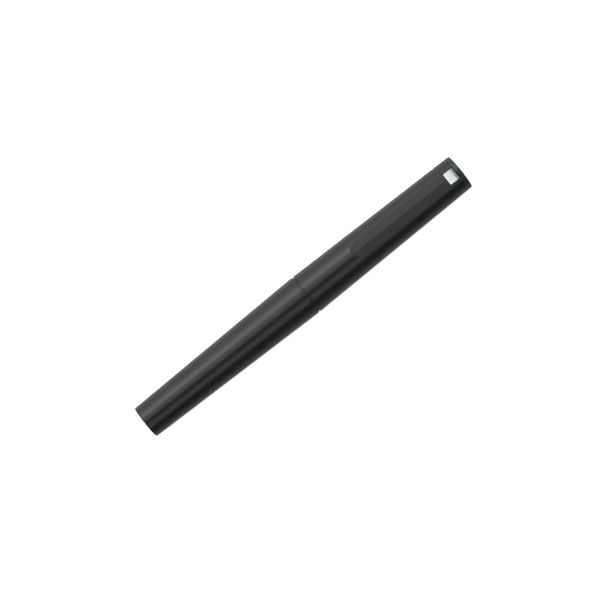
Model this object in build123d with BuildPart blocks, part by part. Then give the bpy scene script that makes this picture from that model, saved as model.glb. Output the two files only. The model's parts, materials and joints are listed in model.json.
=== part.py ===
from build123d import *
import math
import os

# A capped technical pen (tubular drawing point), lying along X on the plane Z = 0.
# +X runs from the barrel end to the cap end.  X = 0 is the middle of the closed pen.
# All lengths are millimetres.

# ---- driving dimensions: overall form ----
LENGTH = 139.0
HALF = LENGTH / 2
MAX_R = 7.66
BARREL_END_R = 6.14
CAP_END_R = 6.65
AXIS_Z = MAX_R

# ---- joint between barrel and cap ----
BARREL_FRONT = 0.95
RING_X = 1.0
RING_THICK = 0.7
RING_R = 7.5
CAP_LIP = 1.75
LIP_FLARE = 5.0
MID_FLARE = 2.2
MID_FLARE_R = 7.585
CAP_TAPER_R = 7.53
RIM_X = 67.75

# ---- running gaps ----
FIT = 0.05

# ---- barrel screw thread ----
PITCH = 1.25
CORE_R = 5.35
THREAD_CREST_R = 5.82
NUT_ROOT_R = 5.95
NUT_CREST_R = 5.5
RIDGE_ROOT = 0.6
RIDGE_CREST = 0.25
THREAD_START = -7.4
THREAD_LENGTH = 4.5 * PITCH
NUT_START = THREAD_START - PITCH / 2
NUT_LENGTH = 5 * PITCH

# ---- grip section ----
SECTION_REAR = -8.5
SPIGOT_R = 6.1
SPIGOT_END = 12.0
GRIP_START = 13.0
GRIP_END = 36.0
GRIP_REAR_R = 5.6
GRIP_FRONT_R = 4.6
NOSE_END = 38.0
CARTRIDGE_BORE_R = 4.3
POINT_BORE_R = 3.2
POINT_SEAT = 18.0
GRIP_GROOVES = 7
GROOVE_PITCH = 2.2
GROOVE_R = 0.3

# ---- drawing point ----
STEM_R = POINT_BORE_R - FIT
CONE_START = 39.6
CONE_END = 47.0
CONE_R = 4.3
CONE_TIP_R = 1.5
CHAMBER_R = 1.25
CHAMBER_REAR = 32.5
CHAMBER_FRONT = 43.2
NEEDLE_TIP = 54.5
NEEDLE_R = 0.45
NEEDLE_TIP_R = 0.3
NEEDLE_BORE_R = 0.15
WIRE_R = 0.09

# ---- ink cartridge ----
CARTRIDGE_REAR = -50.0
CARTRIDGE_R = 4.05
CARTRIDGE_WALL = 0.65
NECK_R = 2.6
NECK_BORE_R = 1.95
NECK_END = 15.0
NIPPLE_R = 1.42

# ---- cap interior ----
MOUTH_BORE_R = 6.3
MOUTH_END = 13.5
CAP_BORE_R = 5.85
CAP_BORE_END_R = 5.15
BORE_END = 62.0
LINER_START = 40.0
PLUNGER_BORE_R = 2.9

# ---- recessed V panel and bright inlay on the cap ----
RIDGE_TURN = 7.2
FLAT_TURNS = (2.8, 10.8)
PANEL_DEPTH = 0.55
V_TIP = 21.8
V_UPPER_RISE = 0.68
V_LOWER_RISE = 0.92
V_WIDTH = 8.0
V_CUT_HEIGHT = 1.2
STEP_DEPTH = 0.1
RAMP_RUN = 3.2
INLAY_TURN = 6.0
INLAY_START = 63.56
INLAY_LENGTH = 3.9
INLAY_WIDTH = 4.5
INLAY_THICK = 0.65
INLAY_CORNER = 0.35

PEN_CENTRE = Vector(0, 0, AXIS_Z)
PEN_AXIS = Axis(PEN_CENTRE, (1, 0, 0))
LATHE = Plane(origin=PEN_CENTRE, x_dir=(1, 0, 0), z_dir=(0, -1, 0))


def turn(*outline, mode=Mode.ADD):
    """Revolve a closed outline of (x, radius) corners about the pen's axis."""
    with BuildSketch(LATHE) as section:
        with BuildLine():
            Polyline(*outline, close=True)
        make_face()
    revolve(section.sketch, axis=PEN_AXIS, mode=mode)


def turn_ring(x, centre_r, section_r, mode=Mode.ADD):
    """Revolve a round section, for an O-ring or for the groove that one lies in."""
    with BuildSketch(LATHE) as section:
        with Locations((x, centre_r)):
            Circle(section_r)
    revolve(section.sketch, axis=PEN_AXIS, mode=mode)


def thread(x, length, pitch, root_r, crest_r, root_width, crest_width):
    """Sweep a ridge along a right-handed helix; the root lies inside the metal it grows from."""
    start = Vector(x, 0, AXIS_Z)
    path = Helix(pitch, length, root_r, center=start, direction=(1, 0, 0), mode=Mode.PRIVATE)
    outward = (path @ 0 - start).normalized()
    along = Plane(origin=start, x_dir=(1, 0, 0), z_dir=Vector(1, 0, 0).cross(outward))
    half_root = root_width / 2
    half_crest = crest_width / 2
    with BuildSketch(along) as section:
        with BuildLine():
            Polyline(
                (-half_root, root_r),
                (-half_crest, crest_r),
                (half_crest, crest_r),
                (half_root, root_r),
                close=True,
            )
        make_face()
    sweep(section.sketch, path=path, is_frenet=True)


def taper(x, x0, r0, x1, r1):
    """Radius at x on a straight taper from (x0, r0) to (x1, r1)."""
    return r0 + (r1 - r0) * (x - x0) / (x1 - x0)


def finish(part, label):
    """Name a finished piece and write it out."""
    part.label = label
    export_step(part, f"parts/{label}.step")
    return part


os.makedirs("parts", exist_ok=True)

# ======================= barrel =======================

# Long tapered tube, with a wide mouth for the thread insert and a seat for the end plug.
BARREL_MOUTH_R = 6.45
BARREL_BORE_R = 5.9
BARREL_BORE_END_R = 4.8
MOUTH_DEPTH = -9.0
PLUG_SEAT_R = 4.6
PLUG_DEPTH = 7.5
with BuildPart() as barrel_shell:
    turn((-HALF, 0), (-HALF, BARREL_END_R), (BARREL_FRONT, MAX_R - 0.01), (BARREL_FRONT, 0))
    outer_edges = barrel_shell.edges().filter_by(GeomType.CIRCLE).sort_by(Axis.X)
    fillet(outer_edges[0], 0.35)
    fillet(outer_edges[-1], 0.15)
    turn(
        (-HALF + PLUG_DEPTH, 0),
        (-HALF + PLUG_DEPTH, BARREL_BORE_END_R),
        (MOUTH_DEPTH, BARREL_BORE_R),
        (MOUTH_DEPTH, BARREL_MOUTH_R),
        (BARREL_FRONT, BARREL_MOUTH_R),
        (BARREL_FRONT, 0),
        mode=Mode.SUBTRACT,
    )
    turn(
        (-HALF, 0),
        (-HALF, PLUG_SEAT_R),
        (-HALF + PLUG_DEPTH, PLUG_SEAT_R),
        (-HALF + PLUG_DEPTH, 0),
        mode=Mode.SUBTRACT,
    )
finish(barrel_shell.part, "barrel_shell")

# Brass bush with the female thread, pressed into the barrel's mouth.
with BuildPart() as barrel_thread_insert:
    turn((-8.9, NUT_ROOT_R), (-8.9, BARREL_MOUTH_R), (-0.5, BARREL_MOUTH_R), (-0.5, NUT_ROOT_R))
    thread(NUT_START, NUT_LENGTH, PITCH, NUT_ROOT_R + 0.1, NUT_CREST_R, RIDGE_ROOT, RIDGE_CREST)
finish(barrel_thread_insert.part, "barrel_thread_insert")

# Plug that closes the barrel, with a groove for its O-ring and a shallow dished face.
PLUG_RING_X = -HALF + 4.0
with BuildPart() as barrel_end_plug:
    turn(
        (-HALF + 0.15, 0),
        (-HALF + 0.15, PLUG_SEAT_R - 0.25),
        (-HALF + 0.35, PLUG_SEAT_R - 0.02),
        (-HALF + PLUG_DEPTH, PLUG_SEAT_R - 0.02),
        (-HALF + PLUG_DEPTH, 3.4),
        (-HALF + 2.0, 3.4),
        (-HALF + 2.0, 0),
    )
    turn(
        (PLUG_RING_X - 0.55, 3.85),
        (PLUG_RING_X - 0.55, PLUG_SEAT_R),
        (PLUG_RING_X + 0.55, PLUG_SEAT_R),
        (PLUG_RING_X + 0.55, 3.85),
        mode=Mode.SUBTRACT,
    )
finish(barrel_end_plug.part, "barrel_end_plug")

with BuildPart() as end_plug_o_ring:
    turn_ring(PLUG_RING_X, 4.22, 0.35)
finish(end_plug_o_ring.part, "end_plug_o_ring")

# ======================= grip section =======================

# One moulded piece: threaded stub, collar, spigot that the cap pushes onto, ribbed grip, nose.
SEAL_X = 0.35
SEAL_CENTRE_R = 5.85
SEAL_SECTION_R = 0.5
SEAL_GROOVE_HALF = 0.6
CLUTCH_X = 7.0
CLUTCH_CENTRE_R = 5.72
COLLAR_R = 6.3
with BuildPart() as grip_section:
    turn(
        (SECTION_REAR, CARTRIDGE_BORE_R),
        (SECTION_REAR, CORE_R - 0.3),
        (SECTION_REAR + 0.3, CORE_R),
        (SEAL_X - SEAL_GROOVE_HALF, CORE_R),
        (SEAL_X - SEAL_GROOVE_HALF, SEAL_CENTRE_R - SEAL_SECTION_R - FIT),
        (SEAL_X + SEAL_GROOVE_HALF, SEAL_CENTRE_R - SEAL_SECTION_R - FIT),
        (SEAL_X + SEAL_GROOVE_HALF, CORE_R),
        (RING_X, CORE_R),
        (RING_X, COLLAR_R),
        (RING_X + RING_THICK, COLLAR_R),
        (RING_X + RING_THICK, SPIGOT_R),
        (CLUTCH_X - SEAL_GROOVE_HALF, SPIGOT_R),
        (CLUTCH_X - SEAL_GROOVE_HALF, CLUTCH_CENTRE_R - SEAL_SECTION_R - FIT),
        (CLUTCH_X + SEAL_GROOVE_HALF, CLUTCH_CENTRE_R - SEAL_SECTION_R - FIT),
        (CLUTCH_X + SEAL_GROOVE_HALF, SPIGOT_R),
        (SPIGOT_END - 0.4, SPIGOT_R),
        (GRIP_START, GRIP_REAR_R),
        (GRIP_END, GRIP_FRONT_R),
        (GRIP_END + 0.3, 4.4),
        (NOSE_END - 0.2, 4.4),
        (NOSE_END, 4.2),
        (NOSE_END, POINT_BORE_R),
        (POINT_SEAT, POINT_BORE_R),
        (POINT_SEAT, CARTRIDGE_BORE_R),
    )
    thread(
        THREAD_START, THREAD_LENGTH, PITCH, CORE_R - 0.1, THREAD_CREST_R, RIDGE_ROOT, RIDGE_CREST
    )
    for index in range(GRIP_GROOVES):
        groove_x = 18.0 + index * GROOVE_PITCH
        groove_r = taper(groove_x, GRIP_START, GRIP_REAR_R, GRIP_END, GRIP_FRONT_R)
        turn_ring(groove_x, groove_r + 0.05, GROOVE_R, mode=Mode.SUBTRACT)
finish(grip_section.part, "grip_section")

# Thin ring seated on the collar; its bevel makes the dark line between barrel and cap.
with BuildPart() as trim_ring:
    turn(
        (RING_X, COLLAR_R),
        (RING_X, RING_R - 0.06),
        (RING_X + 0.06, RING_R),
        (RING_X + RING_THICK - 0.1, RING_R),
        (RING_X + RING_THICK, RING_R - 0.1),
        (RING_X + RING_THICK, COLLAR_R),
    )
finish(trim_ring.part, "trim_ring")

# O-ring that seals the barrel's mouth and turns with it in the section's groove.
with BuildPart() as barrel_seal_ring:
    turn_ring(SEAL_X, SEAL_CENTRE_R, SEAL_SECTION_R)
finish(barrel_seal_ring.part, "barrel_seal_ring")

# O-ring in the spigot's groove that grips the cap.
with BuildPart() as cap_grip_ring:
    turn_ring(CLUTCH_X, CLUTCH_CENTRE_R, SEAL_SECTION_R)
finish(cap_grip_ring.part, "cap_grip_ring")

# ======================= drawing point =======================

# Stem inside the section, then the cone that carries the needle; the weight runs in its chamber.
WAIST_R = 2.5
WAIST_START = 22.0
WAIST_END = 33.0
FERRULE_SEAT = 45.2
FERRULE_R = 1.0
RETAINER_BORE_R = 1.6
WIRE_PASSAGE_R = 0.55
with BuildPart() as point_body:
    turn(
        (WAIST_START, RETAINER_BORE_R),
        (WAIST_START, WAIST_R),
        (WAIST_END, WAIST_R),
        (WAIST_END, STEM_R),
        (CONE_START, STEM_R),
        (CONE_START, CONE_R - 0.1),
        (CONE_START + 0.1, CONE_R),
        (CONE_START + 0.8, CONE_R),
        (CONE_END, CONE_TIP_R),
        (CONE_END, FERRULE_R),
        (FERRULE_SEAT, FERRULE_R),
        (FERRULE_SEAT, WIRE_PASSAGE_R),
        (CHAMBER_FRONT, WIRE_PASSAGE_R),
        (CHAMBER_FRONT, CHAMBER_R),
        (CHAMBER_REAR, CHAMBER_R),
        (CHAMBER_REAR, RETAINER_BORE_R),
    )
finish(point_body.part, "point_body")

# Sleeve with the spiral channel that lets air back to the cartridge.
VENT_START = 22.8
VENT_END = 32.6
with BuildPart() as vent_spiral:
    turn((VENT_START, WAIST_R), (VENT_START, 2.72), (VENT_END, 2.72), (VENT_END, WAIST_R))
    thread(VENT_START + 0.6, 8.4, 1.2, 2.66, 3.12, 0.6, 0.5)
finish(vent_spiral.part, "vent_spiral")

# Rear stopper of the weight chamber, with the nipple that pierces the cartridge.
NIPPLE_START = 10.5
RETAINER_END = 30.0
INK_WAY_R = 0.7
with BuildPart() as point_retainer:
    turn(
        (NIPPLE_START, INK_WAY_R),
        (NIPPLE_START, NIPPLE_R - 0.3),
        (NIPPLE_START + 0.5, NIPPLE_R),
        (POINT_SEAT, NIPPLE_R),
        (POINT_SEAT, STEM_R),
        (WAIST_START - FIT, STEM_R),
        (WAIST_START - FIT, RETAINER_BORE_R - FIT),
        (RETAINER_END, RETAINER_BORE_R - FIT),
        (RETAINER_END, INK_WAY_R),
    )
finish(point_retainer.part, "point_retainer")

# Coloured ring that shows the line width, between the nose and the cone.
with BuildPart() as line_width_ring:
    turn(
        (NOSE_END + FIT, STEM_R),
        (NOSE_END + FIT, 4.25),
        (NOSE_END + FIT + 0.1, 4.35),
        (CONE_START - 0.1, 4.35),
        (CONE_START, 4.25),
        (CONE_START, STEM_R),
    )
finish(line_width_ring.part, "line_width_ring")

# Polished collar that holds the needle in the cone's tip.
with BuildPart() as needle_ferrule:
    turn(
        (FERRULE_SEAT, NEEDLE_R),
        (FERRULE_SEAT, FERRULE_R),
        (CONE_END, FERRULE_R),
        (CONE_END, 1.35),
        (CONE_END + 0.3, 1.35),
        (CONE_END + 1.5, 0.8),
        (CONE_END + 1.5, NEEDLE_R),
    )
finish(needle_ferrule.part, "needle_ferrule")

# Steel tube that draws the line, stepped down to its writing diameter.
with BuildPart() as needle_tube:
    turn(
        (FERRULE_SEAT + 0.1, NEEDLE_BORE_R),
        (FERRULE_SEAT + 0.1, NEEDLE_R),
        (50.6, NEEDLE_R),
        (51.1, NEEDLE_TIP_R),
        (NEEDLE_TIP - 0.05, NEEDLE_TIP_R),
        (NEEDLE_TIP, NEEDLE_TIP_R - 0.05),
        (NEEDLE_TIP, NEEDLE_BORE_R),
    )
finish(needle_tube.part, "needle_tube")

# Loose weight and the cleaning wire it drives through the needle.
WEIGHT_REAR = 36.2
WEIGHT_FRONT = 42.4
with BuildPart() as cleaning_weight:
    turn(
        (WEIGHT_REAR, 0),
        (WEIGHT_REAR, 0.9),
        (WEIGHT_REAR + 0.2, 1.1),
        (WEIGHT_FRONT - 0.6, 1.1),
        (WEIGHT_FRONT, 0.5),
        (WEIGHT_FRONT, 0),
    )
finish(cleaning_weight.part, "cleaning_weight")

with BuildPart() as cleaning_wire:
    turn(
        (WEIGHT_FRONT, 0),
        (WEIGHT_FRONT, WIRE_R),
        (NEEDLE_TIP - 0.1, WIRE_R),
        (NEEDLE_TIP - 0.1, 0),
    )
finish(cleaning_wire.part, "cleaning_wire")

# ======================= ink cartridge =======================

# Thin translucent bottle with a neck that pushes onto the nipple.
INNER_R = CARTRIDGE_R - CARTRIDGE_WALL
with BuildPart() as ink_cartridge:
    turn(
        (CARTRIDGE_REAR, 0),
        (CARTRIDGE_REAR, CARTRIDGE_R - 0.5),
        (CARTRIDGE_REAR + 0.5, CARTRIDGE_R),
        (5.5, CARTRIDGE_R),
        (7.2, NECK_R),
        (NECK_END, NECK_R),
        (NECK_END, NECK_BORE_R),
        (6.8, NECK_BORE_R),
        (5.2, INNER_R),
        (CARTRIDGE_REAR + CARTRIDGE_WALL, INNER_R),
        (CARTRIDGE_REAR + CARTRIDGE_WALL, 0),
    )
finish(ink_cartridge.part, "ink_cartridge")

# Elastic bush in the neck that seals on the nipple.
with BuildPart() as cartridge_seal:
    turn(
        (11.2, NIPPLE_R + 0.06),
        (11.2, NECK_BORE_R),
        (NECK_END, NECK_BORE_R),
        (NECK_END, NECK_R),
        (NECK_END + 0.6, NECK_R),
        (NECK_END + 0.6, NIPPLE_R + 0.06),
    )
finish(cartridge_seal.part, "cartridge_seal")

# ======================= cap =======================


def cap_radius(x):
    """Outer radius of the round part of the cap along its straight taper."""
    return taper(x, CAP_LIP + LIP_FLARE, CAP_TAPER_R, RIM_X, CAP_END_R + 0.02)


# The panel's floor is two flats that meet at a faint ridge and follow the cap's taper.
# Turns are angles about the pen's axis, from straight up towards +Y.
TAPER_ANGLE = math.degrees(math.atan2(CAP_TAPER_R - CAP_END_R, RIM_X - CAP_LIP - LIP_FLARE))
RIDGE_AT_TIP = cap_radius(V_TIP) - PANEL_DEPTH


def panel_plane(x, height, turned):
    """A plane at x, height above the pen's axis, leaning with the taper and turned about the axis."""
    lean = math.radians(TAPER_ANGLE)
    roll = math.radians(turned)
    along = Vector(math.cos(lean), 0, -math.sin(lean))
    up = Vector(math.sin(lean), 0, math.cos(lean))
    normal = up * math.cos(roll) + Vector(0, 1, 0) * math.sin(roll)
    foot = Vector(x, height * math.sin(roll), AXIS_Z + height * math.cos(roll))
    return Plane(origin=foot, x_dir=along, z_dir=normal)


V_END = RIM_X - V_TIP + 1
with BuildPart() as cap_shell:
    turn(
        (CAP_LIP, 0),
        (CAP_LIP, MAX_R),
        (CAP_LIP + MID_FLARE, MID_FLARE_R),
        (CAP_LIP + LIP_FLARE, CAP_TAPER_R),
        (RIM_X, cap_radius(RIM_X)),
        (RIM_X, 0),
    )
    fillet(cap_shell.edges().filter_by(GeomType.CIRCLE).sort_by(Axis.X)[0], 0.15)
    for flat_turn in FLAT_TURNS:
        off_ridge = math.radians(RIDGE_TURN - flat_turn)
        flat_height = RIDGE_AT_TIP * math.cos(off_ridge)
        ridge_y = RIDGE_AT_TIP * math.sin(off_ridge)
        flat_plane = panel_plane(V_TIP, flat_height, flat_turn)
        across = flat_plane.x_dir.cross(flat_plane.z_dir)
        with BuildSketch(flat_plane) as v_outline:
            with BuildLine():
                Polyline(
                    (0, ridge_y),
                    (V_UPPER_RISE * V_WIDTH, ridge_y + V_WIDTH),
                    (V_END, ridge_y + V_WIDTH),
                    (V_END, ridge_y - V_WIDTH),
                    (V_LOWER_RISE * V_WIDTH, ridge_y - V_WIDTH),
                    close=True,
                )
            make_face()
        # Seen from the side, the floor starts a small step down and ramps to its full depth.
        with BuildSketch(Plane(flat_plane.origin, x_dir=flat_plane.x_dir, z_dir=across)) as floor_line:
            with BuildLine():
                Polyline(
                    (-1, PANEL_DEPTH - STEP_DEPTH),
                    (0, PANEL_DEPTH - STEP_DEPTH),
                    (RAMP_RUN, 0),
                    (V_END, 0),
                    (V_END, V_CUT_HEIGHT),
                    (-1, V_CUT_HEIGHT),
                    close=True,
                )
            make_face()
        inside_v = extrude(v_outline.sketch, amount=V_CUT_HEIGHT, mode=Mode.PRIVATE)
        above_floor = extrude(floor_line.sketch, amount=V_WIDTH, both=True, mode=Mode.PRIVATE)
        add(inside_v & above_floor, mode=Mode.SUBTRACT)
    turn(
        (CAP_LIP, 0),
        (CAP_LIP, MOUTH_BORE_R + 0.15),
        (CAP_LIP + 0.3, MOUTH_BORE_R),
        (MOUTH_END, MOUTH_BORE_R),
        (MOUTH_END + 0.45, CAP_BORE_R),
        (BORE_END, CAP_BORE_END_R),
        (RIM_X, CAP_BORE_END_R),
        (RIM_X, 0),
        mode=Mode.SUBTRACT,
    )
    INLAY_MIDDLE = INLAY_START + INLAY_LENGTH / 2
    INLAY_TOP = cap_radius(INLAY_MIDDLE) - PANEL_DEPTH
    with BuildSketch(panel_plane(INLAY_MIDDLE, INLAY_TOP - INLAY_THICK, INLAY_TURN)) as pocket:
        RectangleRounded(INLAY_LENGTH, INLAY_WIDTH, INLAY_CORNER)
    extrude(pocket.sketch, amount=2, mode=Mode.SUBTRACT)
finish(cap_shell.part, "cap_shell")

# Bright metal inlay let into the panel near the cap's end.
with BuildPart() as bright_inlay:
    with BuildSketch(panel_plane(INLAY_MIDDLE, INLAY_TOP - INLAY_THICK, INLAY_TURN)):
        RectangleRounded(INLAY_LENGTH - 0.04, INLAY_WIDTH - 0.04, INLAY_CORNER)
    extrude(amount=INLAY_THICK + 0.03)
finish(bright_inlay.part, "bright_inlay")

# Round end plug: a flange that shows as the cap's rim, and a hollow spigot.
with BuildPart() as cap_end_plug:
    turn(
        (BORE_END + 0.3, 3.9),
        (BORE_END + 0.3, CAP_BORE_END_R - 0.3),
        (BORE_END + 0.6, CAP_BORE_END_R - 0.02),
        (RIM_X, CAP_BORE_END_R - 0.02),
        (RIM_X, CAP_END_R),
        (HALF, CAP_END_R - 0.03),
        (HALF, 0),
        (HALF - 1.4, 0),
        (HALF - 1.4, 3.9),
    )
    rim_edges = cap_end_plug.edges().filter_by(GeomType.CIRCLE).group_by(Axis.X)[-1]
    fillet(rim_edges, 0.35)
finish(cap_end_plug.part, "cap_end_plug")


def cap_bore(x):
    """Radius of the cap's tapered bore."""
    return taper(x, MOUTH_END + 0.45, CAP_BORE_R, BORE_END, CAP_BORE_END_R)


# Liner pressed into the cap: it shields the point and guides the sprung seal.
LINER_END = 61.0
PLUNGER_STOP = 49.0
THROAT_START = 47.9
THROAT_R = 2.4
FUNNEL_START = 45.5
LINER_MOUTH_R = 4.72
with BuildPart() as inner_cap:
    turn(
        (LINER_START, cap_bore(LINER_START) - 0.5),
        (LINER_START + 0.5, cap_bore(LINER_START + 0.5) - 0.02),
        (LINER_END, cap_bore(LINER_END) - 0.02),
        (LINER_END, PLUNGER_BORE_R),
        (PLUNGER_STOP, PLUNGER_BORE_R),
        (PLUNGER_STOP, THROAT_R),
        (THROAT_START, THROAT_R),
        (FUNNEL_START, LINER_MOUTH_R),
        (LINER_START, LINER_MOUTH_R),
    )
finish(inner_cap.part, "inner_cap")

# Disc behind the liner that the seal's spring pushes against, with an air hole.
with BuildPart() as spring_disc:
    turn((LINER_END, 0.6), (LINER_END, 5.1), (BORE_END, 5.1), (BORE_END, 0.6))
finish(spring_disc.part, "spring_disc")

# Sprung plunger with a pocket for the needle.
PLUNGER_FRONT = 49.15
PLUNGER_REAR = 57.0
with BuildPart() as seal_plunger:
    turn(
        (PLUNGER_FRONT, 1.3),
        (PLUNGER_FRONT, PLUNGER_BORE_R - FIT),
        (PLUNGER_REAR, PLUNGER_BORE_R - FIT),
        (PLUNGER_REAR, 1.5),
        (PLUNGER_REAR + 1.6, 1.5),
        (PLUNGER_REAR + 1.6, 0),
        (55.9, 0),
        (55.9, 1.3),
    )
finish(seal_plunger.part, "seal_plunger")

# Soft cup in the plunger's mouth that closes on the needle's collar when the cap is on.
with BuildPart() as seal_cup:
    turn(
        (48.6, 0.75),
        (48.6, 1.9),
        (PLUNGER_FRONT, 2.2),
        (PLUNGER_FRONT, 1.28),
        (50.6, 1.28),
        (50.6, 0.6),
    )
finish(seal_cup.part, "seal_cup")

# Compression spring behind the plunger.
SPRING_WIRE_R = 0.22
SPRING_R = 2.2
SPRING_START = PLUNGER_REAR + SPRING_WIRE_R + 0.02
SPRING_RUN = LINER_END - PLUNGER_REAR - 2 * (SPRING_WIRE_R + 0.02)
SPRING_TURNS = 4.5
with BuildPart() as seal_spring:
    coil_foot = Vector(SPRING_START, 0, AXIS_Z)
    with BuildLine() as coil:
        Helix(
            SPRING_RUN / SPRING_TURNS, SPRING_RUN, SPRING_R, center=coil_foot, direction=(1, 0, 0)
        )
    with BuildSketch(Plane(origin=coil.line @ 0, z_dir=coil.line % 0)):
        Circle(SPRING_WIRE_R)
    sweep(path=coil.line, is_frenet=True)
finish(seal_spring.part, "seal_spring")
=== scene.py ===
import bpy
import bmesh
import json
import math
from mathutils import Matrix, Vector


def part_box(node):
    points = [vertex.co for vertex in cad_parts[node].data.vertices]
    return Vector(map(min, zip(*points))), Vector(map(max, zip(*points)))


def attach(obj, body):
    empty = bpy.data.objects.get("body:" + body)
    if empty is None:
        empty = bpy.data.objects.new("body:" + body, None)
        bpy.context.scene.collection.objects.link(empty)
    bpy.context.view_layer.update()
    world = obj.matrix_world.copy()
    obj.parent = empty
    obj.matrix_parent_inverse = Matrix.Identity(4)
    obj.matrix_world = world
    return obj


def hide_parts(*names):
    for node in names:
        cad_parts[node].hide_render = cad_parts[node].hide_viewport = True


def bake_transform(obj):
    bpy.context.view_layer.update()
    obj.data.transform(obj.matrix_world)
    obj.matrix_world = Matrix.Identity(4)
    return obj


# A capped technical pen lying along X, cap end towards +X, its recessed panel facing up.
# Mesh helpers work in millimetres about the pen's axis, with angles from straight up towards +Y.
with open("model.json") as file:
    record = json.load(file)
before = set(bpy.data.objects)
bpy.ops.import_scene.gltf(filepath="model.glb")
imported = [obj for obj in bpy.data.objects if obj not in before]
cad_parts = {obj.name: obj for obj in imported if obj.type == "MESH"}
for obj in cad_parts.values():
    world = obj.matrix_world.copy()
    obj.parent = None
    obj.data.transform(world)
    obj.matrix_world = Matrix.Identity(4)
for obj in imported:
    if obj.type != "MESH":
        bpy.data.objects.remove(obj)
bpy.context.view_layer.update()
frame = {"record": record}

MM = 0.001
SIDES = 160
MID_SIDES = 128
SMALL_SIDES = 96
FINE_SIDES = 72
SHARP_ANGLE = math.radians(38)
SMALLEST_TURN = math.radians(9)
PARTING_LINE = 0.012


# ======================= places taken from the frame =======================


def low(node):
    """Smallest x of a CAD node, in millimetres."""
    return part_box(node)[0][0] / MM


def high(node):
    """Largest x of a CAD node, in millimetres."""
    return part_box(node)[1][0] / MM


def radius(node):
    """Outer radius of a turned CAD node, in millimetres."""
    lo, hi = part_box(node)
    return (hi[1] - lo[1]) / 2 / MM


shell_lo, shell_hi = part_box("barrel_shell")
AXIS_Z = (shell_lo[2] + shell_hi[2]) / 2
BARREL_END = low("barrel_shell")
BARREL_FRONT = high("barrel_shell")
BARREL_FRONT_R = radius("barrel_shell")
BARREL_END_R = 6.14
MOUTH_R = 6.45
BORE_STEP_X = -9.0
BORE_FRONT_R = 5.9
BORE_REAR_R = 4.8
PLUG_SEAT_R = 4.6
PLUG_DEPTH = 7.5
PITCH = 1.25

CAP_LIP = low("cap_shell")
CAP_LIP_R = radius("cap_shell")
LIP_FLARE = 5.0
CAP_TAPER_R = 7.53
RIM_X = high("cap_shell")
CAP_END = high("cap_end_plug")
CAP_END_R = radius("cap_end_plug")
CAP_BORE_END_R = 5.15
BORE_END = high("spring_disc")
SOCKET_R = 6.3
SOCKET_END = 13.5
BORE_START = 13.95
BORE_START_R = 5.85

# Recessed panel: a crisp V-shaped step, then two flats that ease down and meet at a faint ridge.
# Rises say how far the V's arms and the ramp run back along the pen for each millimetre across.
RIDGE_TURN = math.radians(7.2)
LOWER_FLAT = math.radians(2.8)
UPPER_FLAT = math.radians(10.8)
PANEL_DEPTH = 0.55
V_TIP = 21.8
UPPER_RISE = 0.68
LOWER_RISE = 0.92
STEP_RUN = 0.09
STEP_DEPTH = 0.1
RAMP_RUN = 4.4
RAMP_RISE = 0.15

INLAY_TURN = math.radians(6.0)
INLAY_X = (low("bright_inlay") + high("bright_inlay")) / 2
INLAY_LENGTH = high("bright_inlay") - low("bright_inlay")
INLAY_WIDTH = 4.46
INLAY_CORNER = 0.35
INLAY_THICK = 0.62
INLAY_STRIP = 1.12
LEAN = math.atan2(CAP_TAPER_R - CAP_END_R, RIM_X - CAP_LIP - LIP_FLARE)


# ======================= mesh helpers =======================


def new_object(name, verts, faces):
    """A smooth-shaded mesh object from points in millimetres about the pen's axis."""
    mesh = bpy.data.meshes.new(name)
    mesh.from_pydata([(x * MM, y * MM, AXIS_Z + z * MM) for x, y, z in verts], [], faces)
    mesh.validate()
    mesh.shade_smooth()
    mesh.set_sharp_from_angle(angle=SHARP_ANGLE)
    piece = bpy.data.objects.new(name, mesh)
    bpy.context.scene.collection.objects.link(piece)
    even_shading(piece)
    return piece


def even_shading(piece):
    """Weight the normals by face area, so wide faces shade flat and small edges round."""
    weighted = piece.modifiers.new("even shading", "WEIGHTED_NORMAL")
    weighted.keep_sharp = True


def outward(verts, faces):
    """Flip the faces if they enclose a negative volume."""
    volume = 0.0
    for face in faces:
        a = Vector(verts[face[0]])
        for second, third in zip(face[1:-1], face[2:]):
            volume += a.dot(Vector(verts[second]).cross(Vector(verts[third])))
    if volume < 0:
        return [list(reversed(face)) for face in faces]
    return faces


def loop_faces(rows, columns, closed):
    """Quads between consecutive rings of points; closed joins the last ring to the first."""
    faces = []
    last = rows if closed else rows - 1
    for row in range(last):
        here = row * columns
        there = (row + 1) % rows * columns
        for k in range(columns):
            other = (k + 1) % columns
            faces.append([here + k, here + other, there + other, there + k])
    return faces


def straight_taper(x, x0, r0, x1, r1):
    """Radius at x between two stations."""
    return r0 + (r1 - r0) * (x - x0) / (x1 - x0)


def rounded(corners, setback, steps=4):
    """A closed outline with each real corner turned into a small arc.

    A corner is (x, radius) or (x, radius, setback), where the third number replaces the default.
    """
    outline = []
    count = len(corners)
    for index, corner in enumerate(corners):
        here = Vector(corner[:2])
        before = Vector(corners[index - 1][:2]) - here
        after = Vector(corners[(index + 1) % count][:2]) - here
        reach = corner[2] if len(corner) > 2 else setback
        turn = math.pi - before.angle(after)
        if here.y == 0 or reach == 0 or turn < SMALLEST_TURN:
            outline.append(tuple(here))
            continue
        cut = min(reach, 0.42 * before.length, 0.42 * after.length)
        first = here + before.normalized() * cut
        last = here + after.normalized() * cut
        for step in range(steps + 1):
            t = step / steps
            point = first * (1 - t) ** 2 + here * 2 * t * (1 - t) + last * t**2
            outline.append(tuple(point))
    return outline


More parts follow.
